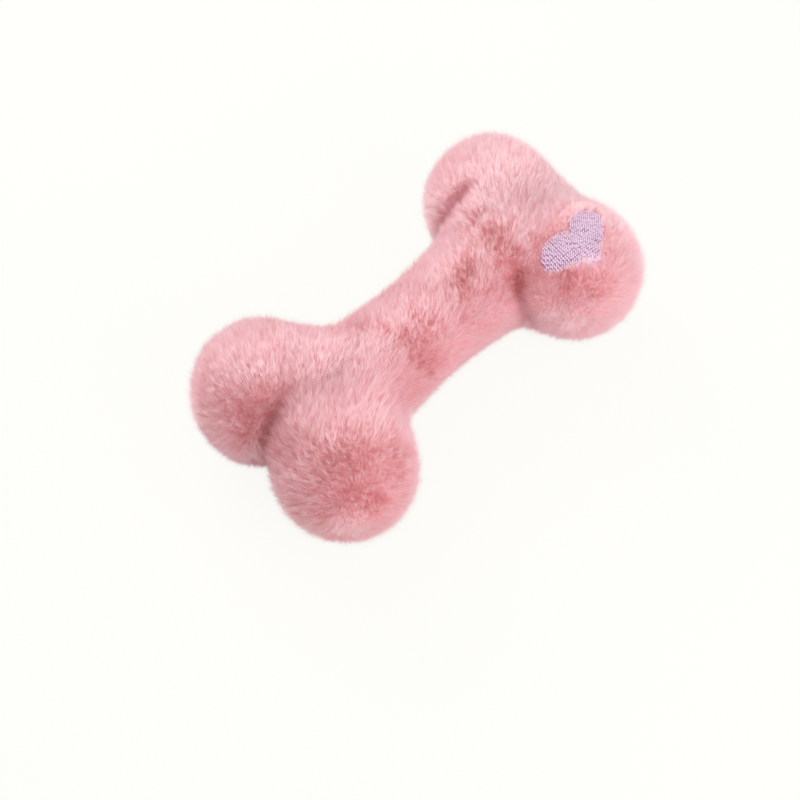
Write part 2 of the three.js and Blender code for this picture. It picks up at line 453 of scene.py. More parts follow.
def cutSkin(bm):
    for place in (-skinMake["cut"], skinMake["cut"]):
        cutAcross(bm, bm.faces, (place * mm, 0, 0), (1, 0, 0))
    cutAcross(bm, bm.faces, (0, 0, seamHeight), (0, 0, 1))
    cutAcross(bm, [f for f in bm.faces if abs(f.calc_center_median().x) > skinMake["cut"] * mm],
              (0, 0, 0), (0, 1, 0))
    for k, side in enumerate(padSides):
        corner = padSides[k - 1] + side
        cutAcross(bm, rimFaces(bm, (k, (k - 1) % pad["sides"])), padAt, (-corner.y, corner.x, 0))
    for k, side in enumerate(padSides):
        for reach in (pad["hold"], pad["hold"] + pad["soft"]):
            line = padAt + side.to_3d() * reach * mm
            cutAcross(bm, rimFaces(bm, (k,)), line, side.to_3d())
    bm.normal_update()


def regionOf(face):
    at = face.calc_center_median()
    half = "Top" if at.z > seamHeight else "Bottom"
    if abs(at.x) < skinMake["cut"] * mm:
        return "shaft", half
    if at.x < 0:
        return "leftRear" if at.y > 0 else "leftFront", half
    if at.y > 0:
        return "rightRear", half
    reach, side = padReach(at)
    if half == "Top" and reach < pad["hold"]:
        return "heartPad", half
    if half == "Top" and reach < pad["hold"] + pad["soft"]:
        return f"heartRim{side + 1}", half
    return "heartLobe", half


# Heart outline in plan: two round lobes, a notch and a tip, in shares of its half width and half height

heart = {"width": 39.0, "height": 28.5, "turn": 3.0, "notch": 0.56, "shift": (-3.3, -3.3), "steps": 12}
heartAt = padAt.xy + Vector(heart["shift"]) * mm


def heartOutline(grow=0.0):
    w, h = heart["width"] / 2 + grow, heart["height"] / 2 + grow
    notch, tip = Vector((0, heart["notch"] * h)), Vector((0, -h))
    quarters = [
        (notch, Vector((0.22 * w, 1.12 * h)), Vector((w, 1.12 * h)), Vector((w, 0.3 * h))),
        (Vector((w, 0.3 * h)), Vector((w, -0.2 * h)), Vector((0.3 * w, -0.55 * h)), tip),
    ]
    right = []
    for knots in quarters:
        right += geometry.interpolate_bezier(*knots, heart["steps"])[:-1]
    left = [Vector((-p.x, p.y)) for p in reversed(right[1:])]
    turn = Matrix.Rotation(math.radians(heart["turn"]), 2)
    return [(turn @ p) * mm + heartAt for p in [*right, tip, *left]]


def insideOutline(point, outline):
    inside = False
    for a, b in zip(outline, outline[1:] + outline[:1]):
        if (a.y > point.y) != (b.y > point.y):
            if point.x < a.x + (b.x - a.x) * (point.y - a.y) / (b.y - a.y):
                inside = not inside
    return inside


def offOutline(point, outline):
    gaps = []
    for a, b in zip(outline, outline[1:] + outline[:1]):
        nearest, share = geometry.intersect_point_line(point, a, b)
        gaps.append((point - (a if share < 0 else b if share > 1 else nearest.xy)).length)
    return min(gaps) / mm


# Lay of the fur over the skin

lay = {
    "nap": (0.7, 0.7, 0.2),       # the way the pile lies on the whole
    "pole": 0.05,                 # with less nap than this along the skin, any way across will do
    "lean": 22.0,                 # degrees from upright
    "leanSize": 20.0,             # size of the patches that lean more or less, and by how much
    "leanStray": 0.6,
    "swirl": 34.0,                # size of the swirls, and how far they turn the nap
    "swirlTurn": 22.0,
    "tuftWander": 2.6,            # size of the clumps, how far they lean, and the draw that each run repeats
    "wanderLean": 0.3,
    "wanderSeed": 7,
    "foldTrim": 0.08,             # in a fold the pile is shorter and, by painted shade, deeper in tone, for each mm of its depth
    "foldShade": 0.07,
    "heartSpread": 7.0,           # how far the heart turns the pile about it, the share of that in which it
    "heartNear": 0.3,             # turns fully, and by how much
    "heartTurn": 0.9,
    "heartLip": 46.0,             # degrees that the pile in front of the heart leans over it
    "heartAway": 3.0,             # and that it leans away behind it
    "lipFrom": (-0.4, -0.92),     # the way to the front
    "heartTrim": 0.2,             # how much shorter the pile is behind it, and how much deeper in tone by painted shade
    "heartShade": 0.2,
    "heartRim": 0.9,              # how far its edge is grown over, and how much more in front and behind
    "heartHide": ((-0.6, -1.5), (-0.6, 0.9)),
    "tone": 0.62,                 # how pale the fibres are on the whole, how much paler by painted light 100 mm on towards the heart's end, and sizes over which the tone wanders and by how much
    "paintedLightSlope": 0.1,             # the heart's end, and sizes over which that wanders and by how much
    "toneStray": ((26.0, 0.15), (8.0, 0.12)),
}

bareHeart = heartOutline(-lay["heartRim"])


def grownOver(point):
    spots = [point + Vector(hide) * mm for hide in ((0, 0), *lay["heartHide"])]
    return not all(insideOutline(spot, bareHeart) for spot in spots)


# Ragged lines along which the pile parts and stands up, so that the deep colour of the roots shows, with
# painted shade down in the parted pile and beside creases: two ends, reach and how much pale tone that shade
# takes
partings = {
    "lines": [
        ((47.0, 1.0, 56.0), (42.0, -18.0, 48.0), 12.0, 0.6),
        ((42.0, 9.0, 54.0), (50.0, 13.0, 55.0), 8.0, 0.35),
        ((30.0, 1.0, 53.0), (20.0, -5.0, 52.0), 9.0, 0.45),
        ((-30.0, 5.0, 51.0), (-22.0, -6.0, 51.0), 8.0, 0.28),
        ((-20.0, -7.0, 50.0), (-15.0, -19.0, 46.0), 10.0, 0.42),
        ((-6.0, -7.0, 51.0), (-12.0, -12.0, 50.0), 10.0, 0.25),
        ((-84.0, -33.0, 61.0), (-66.0, -45.0, 54.0), 16.0, 0.2),
        ((54.0, -37.0, 52.0), (66.0, -47.0, 51.0), 9.0, 0.5),
        ((-96.0, 9.0, 43.0), (-87.0, 12.0, 53.0), 13.0, 0.2),
        ((-86.0, -46.0, 51.0), (-83.0, -51.0, 47.0), 9.0, 0.45),
    ],
    "ragged": 0.9,                # how far the edge wanders, and over what size
    "raggedSize": 4.0,
    "limit": 2.0,                 # in reaches: farther off there is none
    "core": 0.1,                  # the share of the reach that is parted fully
    "away": 0.4,                  # how far the pile turns away from it
    "flatten": 0.8,               # of the lean
    "shorten": 0.15,              # of the pile
}


def partingShare(place):
    found = []
    for start, end, reach, shadeLoss in partings["lines"]:
        gap = offLine(place, (start, end)) / reach
        if gap < partings["limit"]:
            gap *= 1 + partings["ragged"] * noise.noise(place / partings["raggedSize"])
            share = 1 - smoothStep(partings["core"], 1.0, gap)
            found.append((share, share * shadeLoss, Vector(start).lerp(Vector(end), 0.5)))
    return max(found, default=(0.0, 0.0, place), key=lambda one: one[0])


def layFur(bm):
    growth = bm.verts.layers.float_vector.new("growth")
    comb = bm.verts.layers.float_vector.new("comb")
    cover = bm.verts.layers.float.new("cover")
    pile = bm.verts.layers.float.new("pile")
    tone = bm.verts.layers.float.new("tone")
    ruffle = bm.verts.layers.float.new("ruffle")
    nap, lipFrom = Vector(lay["nap"]), Vector(lay["lipFrom"])
    noise.seed_set(lay["wanderSeed"])
    for vert in bm.verts:
        normal, place = vert.normal, vert.co / mm
        flow = nap - normal * nap.dot(normal)
        if flow.length < lay["pole"]:
            flow = normal.orthogonal()
        flow.normalize()
        turn = math.radians(lay["swirlTurn"]) * 2 * noise.noise(place / lay["swirl"])
        flow = Matrix.Rotation(turn, 3, normal) @ flow
        lean = math.radians(lay["lean"]) * (1 + lay["leanStray"] * noise.noise(place / lay["leanSize"]))
        # a fold's depth also deepens the tone below, as painted shade
        fold = foldDepth(place)
        length = 1 - lay["foldTrim"] * fold
        # painted light: the pile is paler towards the heart's end
        shade = lay["tone"] + lay["paintedLightSlope"] * place.x / 100 - lay["foldShade"] * fold
        for size, stray in lay["toneStray"]:
            shade += stray * noise.noise(place / size)
        share, shadeLoss, middle = partingShare(place)
        if share > 0:
            away = place - middle
            away -= normal * away.dot(normal)
            flow = flow.lerp(away.normalized(), partings["away"] * share).normalized()
            lean *= 1 - partings["flatten"] * share
            length *= 1 - partings["shorten"] * share
            # painted shade where the pile parts
            shade -= shadeLoss
        bareHere = 0.0
        offHeart = vert.co.xy - heartAt
        if vert.co.z > seamHeight and offHeart.length < heart["width"] * mm and vert.co.y < 0:
            bareHere = float(not grownOver(vert.co.xy))
            gap = 0.0 if insideOutline(vert.co.xy, bareHeart) else offOutline(vert.co.xy, bareHeart)
            nearHeart = 1 - smoothStep(lay["heartNear"], 1.0, gap / lay["heartSpread"])
            front = offHeart.normalized().dot(lipFrom)
            over = Vector((-offHeart.x, -offHeart.y, 0))
            over -= normal * over.dot(normal)
            flow = flow.lerp(over.normalized(), lay["heartTurn"] * nearHeart).normalized()
            tilt = lay["heartLip"] * max(front, 0) + lay["heartAway"] * min(front, 0)
            lean += (math.radians(tilt) - lean) * nearHeart
            behind = nearHeart * (1 - max(front, 0))
            length *= 1 - lay["heartTrim"] * behind
            # painted shade: the pile behind the heart is deeper in tone
            shade -= lay["heartShade"] * behind
        wander = noise.noise_vector(place / lay["tuftWander"]) * lay["wanderLean"]
        axis = normal * math.cos(lean) + flow * math.sin(lean) + wander
        vert[growth] = axis.normalized()
        vert[comb] = flow
        vert[pile] = length
        vert[tone] = shade
        vert[ruffle] = share
        vert[cover] = 1 - bareHere


cutSkin(skin)
layFur(skin)
print("skin cut and combed")


# Tufts: a dozen tapered strands that curve over with the nap

tuft = {
    "variants": 8,
    "strands": 12,
    "steps": 2,
    "length": 4.9,
    "lengthStray": 0.2,
    "spread": 1.0,          # radius of the roots, and how deep they sit
    "rootDepth": 0.6,
    "gather": 0.15,         # how far the tips draw together
    "bend": 24.0,           # degrees from root to tip
    "bendStray": 20.0,
    "tilt": (-14.0, 10.0),  # of a strand in its tuft, and how far it turns and drifts sideways
    "twist": 40.0,
    "drift": 0.18,
    "width": 0.19,
    "narrowing": 0.86,      # at each step
    "guards": 3,            # of the strands are finer and stand over the rest
    "guardLength": 1.35,
    "guardWidth": 0.45,
}


def addStrand(bm, draw, layers, guard):
    along, side, strand = layers
    angle, reach = draw.uniform(0, 2 * math.pi), tuft["spread"] * math.sqrt(draw.random())
    root = Vector((reach * math.cos(angle), reach * math.sin(angle), -tuft["rootDepth"])) * mm
    length = tuft["length"] * (1 + draw.uniform(-1, 1) * tuft["lengthStray"]) * mm
    width = tuft["width"] * mm
    if guard:
        length *= tuft["guardLength"]
        width *= tuft["guardWidth"]
    bend = math.radians(tuft["bend"] + draw.uniform(-1, 1) * tuft["bendStray"])
    tilt = math.radians(draw.uniform(*tuft["tilt"]))
    twist = math.radians(draw.uniform(-1, 1) * tuft["twist"])
    drift = draw.uniform(-1, 1) * tuft["drift"]
    shade = draw.random()
    half = Vector((math.sin(twist), math.cos(twist), 0)) * width / 2
    pair = [bm.verts.new(root - half), bm.verts.new(root + half)]
    for vert, across in zip(pair, (0.0, 1.0)):
        vert[along], vert[side], vert[strand] = 0.0, across, shade
    edge = bm.edges.new(pair)
    gather = -Vector((root.x, root.y, 0)) * tuft["gather"] / tuft["steps"]
    for step in range(1, tuft["steps"] + 1):
        made = bmesh.ops.extrude_edge_only(bm, edges=[edge])["geom"]
        tips = sorted((g for g in made if isinstance(g, bmesh.types.BMVert)), key=lambda tip: tip[side])
        edge = next(g for g in made if isinstance(g, bmesh.types.BMEdge) and set(g.verts) == set(tips))
        share = step / tuft["steps"]
        lean = tilt + bend * (share - 0.5 / tuft["steps"])
        rise = Vector((math.sin(lean), drift, math.cos(lean))) * length / tuft["steps"] + gather
        bmesh.ops.translate(bm, verts=tips, vec=rise)
        middle = (tips[0].co + tips[1].co) / 2
        bmesh.ops.scale(bm, verts=tips, vec=(tuft["narrowing"],) * 3, space=Matrix.Translation(-middle))
        for vert in tips:
            vert[along] = share
    bmesh.ops.pointmerge(bm, verts=tips, merge_co=middle)


def makeTufts():
    draw = random.Random(11)
    shelf = bpy.data.collections.new("tufts")
    for _ in range(tuft["variants"]):
        bm = bmesh.new()
        layers = [bm.verts.layers.float.new(name) for name in ("along", "side", "strand")]
        for i in range(tuft["strands"]):
            addStrand(bm, draw, layers, i < tuft["guards"])
        shelf.objects.link(bpy.data.objects.new("tuft", meshFrom(bm, "tuft")))
    return shelf


# Growing: tufts set over a patch of skin, each turned by the lay there

growing = {
    "spacing": 0.84,
    "most": 4.0,            # tufts on a square mm, before the spacing thins them
    "jitter": 0.17,
    "ruffled": 0.35,        # added to the jitter where the pile parts
    "small": 0.82,
    "large": 1.15,
}


def growthTree(shelf):
    tree = bpy.data.node_groups.new("growTufts", "GeometryNodeTree")
    tree.interface.new_socket("Geometry", in_out="INPUT", socket_type="NodeSocketGeometry")
    tree.interface.new_socket("Geometry", in_out="OUTPUT", socket_type="NodeSocketGeometry")
    patch = addNode(tree, "NodeGroupInput")
    fields = {}
    for name in ("growth", "comb", "cover", "pile", "ruffle"):
        kind = "FLOAT_VECTOR" if name in ("growth", "comb") else "FLOAT"
        field = addNode(tree, "GeometryNodeInputNamedAttribute", {"data_type": kind}, {"Name": name})
        fields[name] = field.outputs["Attribute"]
    dense = addNode(tree, "ShaderNodeMath", {"operation": "GREATER_THAN"}, {0: fields["cover"], 1: 0.5})
    points = addNode(tree, "GeometryNodeDistributePointsOnFaces", {"distribute_method": "POISSON"}, {
        "Mesh": patch.outputs[0], "Distance Min": growing["spacing"] * mm,
        "Density Max": growing["most"] / mm ** 2, "Density Factor": dense.outputs[0], "Seed": 5})
    wild = addNode(tree, "ShaderNodeMath", {"operation": "MULTIPLY_ADD"},
                   {0: fields["ruffle"], 1: growing["ruffled"], 2: growing["jitter"]})
    stray = addNode(tree, "FunctionNodeRandomValue", {"data_type": "FLOAT_VECTOR"},
                    {0: (-1.0,) * 3, 1: (1.0,) * 3, "Seed": 1})
    scaled = addNode(tree, "ShaderNodeVectorMath", {"operation": "SCALE"},
                     {"Vector": stray.outputs[0], "Scale": wild.outputs[0]})
    axis = addNode(tree, "ShaderNodeVectorMath", {"operation": "ADD"},
                   {0: fields["growth"], 1: scaled.outputs[0]})
    turn = addNode(tree, "FunctionNodeAxesToRotation", {"primary_axis": "Z", "secondary_axis": "X"},
                   {"Primary Axis": axis.outputs[0], "Secondary Axis": fields["comb"]})
    size = addNode(tree, "FunctionNodeRandomValue", {"data_type": "FLOAT"},
                   {2: growing["small"], 3: growing["large"], "Seed": 2})
    grown = addNode(tree, "ShaderNodeMath", {"operation": "MULTIPLY"},
                    {0: size.outputs[1], 1: fields["pile"]})
    pick = addNode(tree, "FunctionNodeRandomValue", {"data_type": "INT"},
                   {4: 0, 5: tuft["variants"] - 1, "Seed": 3})
    shapes = addNode(tree, "GeometryNodeCollectionInfo", inputs={
        "Collection": shelf, "Separate Children": True, "Reset Children": True})
    planted = addNode(tree, "GeometryNodeInstanceOnPoints", inputs={
        "Points": points.outputs["Points"], "Instance": shapes.outputs[0], "Pick Instance": True,
        "Instance Index": pick.outputs[2], "Rotation": turn.outputs[0], "Scale": grown.outputs[0]})
    own = addNode(tree, "FunctionNodeRandomValue", {"data_type": "FLOAT"}, {2: 0.0, 3: 1.0, "Seed": 4})
    marked = addNode(tree, "GeometryNodeStoreNamedAttribute", {"data_type": "FLOAT", "domain": "INSTANCE"}, {
        "Geometry": planted.outputs[0], "Name": "tuftShade", "Value": own.outputs[1]})
    real = addNode(tree, "GeometryNodeRealizeInstances", inputs={"Geometry": marked.outputs[0]})
    addNode(tree, "NodeGroupOutput", inputs={0: real.outputs[0]})
    return tree


def readValues(mesh, name):
    values = np.empty(len(mesh.vertices), np.float32)
    mesh.attributes[name].data.foreach_get("value", values)
    return values


strands = {
    "stripe": 0.04,         # width of a strand's stripe on the map, and the margin at its ends
    "margin": 0.01,
    "tuftStray": 0.3,       # how far a tuft's tone strays, and a strand's in its tuft
    "strandStray": 0.45,
    "ruffled": 0.6,         # added to both where the pile parts
    "floorClear": 0.4,      # mm: the pile under the lobes is pressed flat on the floor
}


def mapStripes(mesh, shade):
    along, side = readValues(mesh, "along"), readValues(mesh, "side")
    corners = np.empty(len(mesh.loops), np.int32)
    mesh.loops.foreach_get("vertex_index", corners)
    across = shade * (1 - strands["stripe"]) + side * strands["stripe"]
    margin = strands["margin"]
    stripes = np.stack([across[corners], margin + (1 - 2 * margin) * along[corners]], axis=1)
    for name in [a.name for a in mesh.attributes if not a.is_internal and not a.is_required]:
        mesh.attributes.remove(mesh.attributes[name])
    for name in ("strandMap", "OFBake"):  # the second is the map that a finish is baked through
        mesh.uv_layers.new(name=name).uv.foreach_set("vector", stripes.ravel().astype(np.float32))
    mesh.shade_smooth()


def finishStrands(mesh):
    own, fromTuft = readValues(mesh, "strand") - 0.5, readValues(mesh, "tuftShade") - 0.5
    shade = readValues(mesh, "tone") + strands["tuftStray"] * fromTuft + strands["strandStray"] * own
    shade += strands["ruffled"] * readValues(mesh, "ruffle") * (fromTuft + own)
    places = readVectors(mesh.vertices, "co")
    places[:, 2] = np.maximum(places[:, 2], strands["floorClear"] * mm * (1.5 + own))
    mesh.vertices.foreach_set("co", places.ravel())
    mapStripes(mesh, np.clip(shade, 0.0, 1.0))


def patchOf(bm, name, wanted):
    part = bm.copy()
    bmesh.ops.delete(part, geom=[f for f in part.faces if not wanted(regionOf(f))], context="FACES")
    return meshFrom(part, name)


def growFur(name, region, tree, material):
    patch = newPiece("patch", patchOf(skin, "patch", lambda found: found == region), material)
    grow = patch.modifiers.new("grow", "NODES")
    grow.node_group = tree
    mesh = evaluatedMesh(patch)
    bpy.data.objects.remove(patch)
    mesh.name = name
    finishStrands(mesh)
    return newPiece(name, mesh, material)


coverNames = {"leftRear": "left_rear", "leftFront": "left_front", "rightRear": "right_rear",
              "heartLobe": "heart_lobe", "shaft": "shaft"}


def moveWithCover(piece, lobe):
    if lobe == "shaft":
        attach(piece, "shaft")
    elif lobe == "heartPad":
        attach(piece, "press")
    elif lobe.startswith("heartRim"):
        side = padSides[int(lobe[-1]) - 1].to_3d() * mm
        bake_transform(piece, "right_end", "press", start=padAt + side * (pad["hold"] + pad["soft"]),
                 end=padAt + side * pad["hold"])
    else:
        side = -1 if lobe.startswith("left") else 1
        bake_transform(piece, "shaft", "left_end" if side < 0 else "right_end",
                 start=(side * skinMake["cut"] * mm, 0, seamHeight),
                 end=(side * skinMake["bendEnd"] * mm, 0, seamHeight))


def dressBody():
    pile, knit = furPile(), knitBacking()
    rims = [f"heartRim{k + 1}" for k in range(pad["sides"])]
    skins = {
        "shaftSkin": ("shaft",),
        "leftEndSkin": ("leftRear", "leftFront"),
        "rightEndSkin": ("rightRear", "heartLobe"),
        "heartPadSkin": ("heartPad",),
    }
    skins.update({rim.replace("Rim", "RimSkin"): (rim,) for rim in rims})
    for name, lobes in skins.items():
        piece = newPiece(name, patchOf(skin, name, lambda found: found[0] in lobes), knit)
        for layer in ("growth", "comb", "cover", "pile", "tone", "ruffle"):
            piece.data.attributes.remove(piece.data.attributes[layer])
        moveWithCover(piece, lobes[0])
    shelf = makeTufts()
    tree = growthTree(shelf)
    total = 0
    homes = {(lobe, half): f"{node}_cover_{half.lower()}"
             for lobe, node in coverNames.items() for half in ("Top", "Bottom")}
    homes[("heartPad", "Top")] = "heart_pad"
    homes.update({(rim, "Top"): None for rim in rims})
    for (lobe, half), node in homes.items():
        piece = growFur(f"{lobe}Fur{half}", (lobe, half), tree, pile)
        moveWithCover(piece, lobe)
        if node:
            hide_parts(node)
        faces = sum(len(p.vertices) - 2 for p in piece.data.polygons)
        total += faces
        print("  grown:", piece.name, faces, "triangles")
    for obj in list(shelf.objects):
        bpy.data.objects.remove(obj)
    bpy.data.collections.remove(shelf)
    bpy.data.node_groups.remove(tree)
    print("fur grown:", total, "triangles")


dressBody()


# Embroidered heart: rows of short fill stitches in brick order on a raised ground

stitching = {
    "pitch": 0.85,          # between rows
    "width": 0.84,
    "length": 1.5,
    "overlap": 1.1,         # of a stitch's length over its step
    "turn": -52.0,          # degrees of the rows from straight across the bone
    "stray": 0.2,
    "inset": 0.4,           # of the stitches from the outline
    "probe": (-0.5, -0.25, 0.0, 0.25, 0.5),  # shares of a stitch that have to lie in it, or it is shortened
    "crown": 0.45,          # half height of a stitch, and how far its middle lies over the ground
    "lift": 0.15,
    "ground": 0.7,          # of the ground over the fabric
    "sunk": 0.5,            # of stitches under it, where the pile has grown over them
    "edge": 1.2,            # rounding of the ground's edge
    "wall": 2.4,
}

# Rayon embroidery thread, twisted from two plies: a satin gloss along each stitch, with a painted highlight
# that makes its crown pale lilac and painted shade that makes it mauve where it dives into the cloth.
threadLook = {
    # painted light along each stitch: a painted highlight on the crown, painted shade at the ends
    "stops": [(0.0, "#eebce2"), (0.22, "#ffdbf8"), (0.5, "#fff0ff"), (0.78, "#ffdbf8"), (1.0, "#eebce2")],
    "paler": "#fff6ff",
    "deeper": "#f6cfee",
    "own": 0.3,             # how far a stitch strays to its own tone
    "plies": 7.0,           # turns of the twist over a stitch, fewer than real so that they show
}


def rayonThread():
    material, tree = newMaterial("rayonThread")
    place = addNode(tree, "ShaderNodeUVMap", {"uv_map": "strandMap"})
    parts = addNode(tree, "ShaderNodeSeparateXYZ", inputs={"Vector": place.outputs["UV"]})
    # the painted highlight and shade along the stitch
    along = addNode(tree, "ShaderNodeValToRGB", inputs={"Fac": parts.outputs["Y"]})
    setRamp(along, threadLook["stops"])
    stray = addNode(tree, "ShaderNodeTexNoise", {"noise_dimensions": "1D"},
                    {"W": parts.outputs["X"], "Scale": 40.0, "Detail": 0.0})
    own = addNode(tree, "ShaderNodeValToRGB", inputs={"Fac": stray.outputs["Fac"]})
    setRamp(own, [(0.3, threadLook["deeper"]), (0.7, threadLook["paler"])])
    mixed = addNode(tree, "ShaderNodeMix", {"data_type": "RGBA"},
                    {0: threadLook["own"], 6: along.outputs["Color"], 7: own.outputs["Color"]})
    twist = addNode(tree, "ShaderNodeMapping", inputs={
        "Vector": place.outputs["UV"], "Scale": (1 / strands["stripe"], threadLook["plies"], 1.0)})
    plies = addNode(tree, "ShaderNodeTexWave", {"bands_direction": "DIAGONAL"},
                    {"Vector": twist.outputs["Vector"], "Scale": 0.5, "Distortion": 0.4})
    bump = addNode(tree, "ShaderNodeBump", inputs={
        "Height": plies.outputs["Fac"], "Strength": 0.35, "Distance": 0.1 * mm})
    shader = addNode(tree, "ShaderNodeBsdfPrincipled", inputs={
        "Base Color": mixed.outputs[2], "Roughness": 0.42, "IOR": 1.52, "Sheen Weight": 0.25,
        "Sheen Roughness": 0.4, "Sheen Tint": linearColour("#f7e2f1"), "Normal": bump.outputs["Normal"]})
    showSurface(tree, shader)
    return material


# Cotton twill ground under the stitches: matt mauve, deepened by painted shade for the gaps between them,
# where alone it is seen.
def twillGround():
    return patternedFinish(
        "twillGround", "ShaderNodeTexWave",
        {"Scale": 1 / (2 * math.pi * stitching["pitch"] * mm), "Distortion": 0.6},
        # deep mauve: the ground's colour darkened as painted shade in the gaps
        [(0.0, "#b980b0"), (1.0, "#e4aed6")], {"Roughness": 0.85}, (0.5, 0.2),
        {"bands_direction": "DIAGONAL"})


skinSurface = BVHTree.FromBMesh(skin)
castFrom = padHigh.z + 20 * mm


def onSkin(point):
    place, normal, _, _ = skinSurface.ray_cast(Vector((point.x, point.y, castFrom)), Vector((0, 0, -1)))
    return place, normal


def makeGround():
    bm = bmesh.new()
    face = bm.faces.new([bm.verts.new((p.x, p.y, 0)) for p in heartOutline()])
    border = list(face.edges)
    bmesh.ops.inset_region(bm, faces=[face], thickness=stitching["edge"] * mm, use_even_offset=True)
    filled = bmesh.ops.triangulate(bm, faces=[face])["faces"]
    inner = list({e for f in filled for e in f.edges})
    bmesh.ops.subdivide_edges(bm, edges=inner, cuts=2, use_grid_fill=True)
    rim = {v for e in border for v in e.verts}
    for vert in bm.verts:
        place, normal = onSkin(vert.co)
        lift = -stitching["sunk"] if grownOver(vert.co.xy) else stitching["ground"]
        vert.co = place + normal * (min(lift, 0) if vert in rim else lift) * mm
    lowered = bmesh.ops.extrude_edge_only(bm, edges=border)["geom"]
    bmesh.ops.translate(bm, verts=[g for g in lowered if isinstance(g, bmesh.types.BMVert)],
                        vec=(0, 0, -stitching["wall"] * mm))
    bmesh.ops.recalc_face_normals(bm, faces=bm.faces)
    return meshFrom(bm, "heartGround")


def makeStitches():
    draw = random.Random(23)
    turn = Matrix.Rotation(math.radians(stitching["turn"]), 2)
    along, across = turn @ Vector((0, 1)), turn @ Vector((1, 0))
    outline = heartOutline(-stitching["inset"])
    step, pitch = stitching["length"] * mm, stitching["pitch"] * mm
    rows, runs = int(heart["width"] / stitching["pitch"]), int(heart["width"] / stitching["length"])
    bm = bmesh.new()
    layers = [bm.verts.layers.float.new(name) for name in ("along", "side", "strand")]
    for row in range(-rows, rows + 1):
        for run in range(-runs, runs + 1):
            middle = heartAt + across * row * pitch + along * (run + 0.5 * (row % 2)) * step
            middle += along * draw.uniform(-1, 1) * stitching["stray"] * step
            shade = draw.random()
            ends = [t for t in stitching["probe"] if insideOutline(middle + along * t * step, outline)]
            if len(ends) < 2:
                continue
            middle += along * (ends[0] + ends[-1]) / 2 * step
            reach = (ends[-1] - ends[0]) * step * stitching["overlap"] / 2
            sewStitch(bm, layers, middle, along, reach, shade)
    return meshFrom(bm, "heartStitches")


def sewStitch(bm, layers, middle, along, reach, shade):
    place, normal = onSkin(middle)
    heading = Vector((along.x, along.y, 0))
    heading = (heading - normal * heading.dot(normal)).normalized()
    beside = heading.cross(normal)
    size = Matrix.Diagonal((stitching["width"] / 2 * mm, reach, stitching["crown"] * mm, 1))
    frameOf = Matrix((beside, heading, normal)).transposed().to_4x4()
    lift = -stitching["sunk"] if grownOver(middle) else stitching["ground"] + stitching["lift"]
    spot = Matrix.Translation(place + normal * lift * mm)
    upright = Matrix.Rotation(math.radians(90), 4, "X")
    made = bmesh.ops.create_uvsphere(bm, u_segments=8, v_segments=6, radius=1.0)["verts"]
    lengthwise, side, strand = layers
    for vert in made:
        turned = upright @ vert.co
        vert[lengthwise], vert[side], vert[strand] = 0.5 + turned.y / 2, 0.5 + turned.x / 2, shade
    bmesh.ops.transform(bm, matrix=spot @ frameOf @ size @ upright, verts=made)


def embroiderHeart():
    ground = newPiece("heartGround", makeGround(), twillGround())
    mesh = makeStitches()
    mapStripes(mesh, readValues(mesh, "strand"))
    stitches = newPiece("heartStitches", mesh, rayonThread())
    for piece in (ground, stitches):
        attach(piece, "press")
    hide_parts("heart_patch")
    print("heart sewn:", len(mesh.polygons), "faces")


embroiderHeart()


# Stuffing: wads of loose fibre in the covers

wad = {"clear": 1.8, "lump": 9.0, "thread": 0.8, "sink": 1.4, "fill": 0.9}


# Polyester fibrefill: crimped white fibre, matt, in soft lumps with fine tangled threads on them.
def fibrefill():
    material, tree = newMaterial("polyesterFibrefill")
    place = addNode(tree, "ShaderNodeTexCoord")
    lumps = addNode(tree, "ShaderNodeTexNoise", inputs={
        "Vector": place.outputs["Object"], "Scale": 1 / (wad["lump"] * mm), "Detail": 3.0})
    shade = addNode(tree, "ShaderNodeValToRGB", inputs={"Fac": lumps.outputs["Fac"]})
    setRamp(shade, [(0.3, "#e4e1da"), (0.7, "#faf9f6")])
    tangle = addNode(tree, "ShaderNodeTexNoise", inputs={
        "Vector": place.outputs["Object"], "Scale": 1 / (wad["thread"] * mm), "Detail": 4.0,
        "Distortion": 3.0})
    bump = addNode(tree, "ShaderNodeBump", inputs={
        "Height": tangle.outputs["Fac"], "Strength": 0.7, "Distance": 0.6 * mm})
    shader = addNode(tree, "ShaderNodeBsdfPrincipled", inputs={
        "Base Color": shade.outputs["Color"], "Roughness": 0.95, "Specular IOR Level": 0.15,
        "Sheen Weight": 0.3, "Sheen Roughness": 0.6, "Normal": bump.outputs["Normal"]})
    showSurface(tree, shader)
    return material


def sinkUnderPad(bm):
    for vert in bm.verts:
        reach, _ = padReach(vert.co)
        if vert.co.z > seamHeight and reach < pad["hold"] + 2 * pad["soft"]:
            place, normal = onSkin(vert.co)
            low = pad["hold"] + pad["room"]
            give = pressTravel * (1 - smoothStep(low, low + pad["soft"], reach))
            vert.co.z = min(vert.co.z, place.z - wad["clear"] * mm / normal.z - give)


def makeWad(node):
    bm = bmesh.new()
    bm.from_mesh(frame["nodes"][node].data)
    bmesh.ops.remove_doubles(bm, verts=bm.verts, dist=weld)
    bmesh.ops.subdivide_edges(bm, edges=bm.edges, cuts=1, use_grid_fill=True)
    bm.normal_update()
    shifts = {}
    for vert in bm.verts:
        sink = wad["sink"] * (0.5 + 0.5 * noise.noise(vert.co / (wad["lump"] * mm)))
        shifts[vert] = -vert.normal * sink * mm
    for vert, shift in shifts.items():
        vert.co += shift
        near, normal, _, _ = skinSurface.find_nearest(vert.co)
        depth = (near - vert.co).dot(normal)
        if depth < wad["clear"] * mm:
            vert.co -= normal * (wad["clear"] * mm - depth)
    if node == "heart_lobe_filling":
        sinkUnderPad(bm)
    return meshFrom(bm, node)


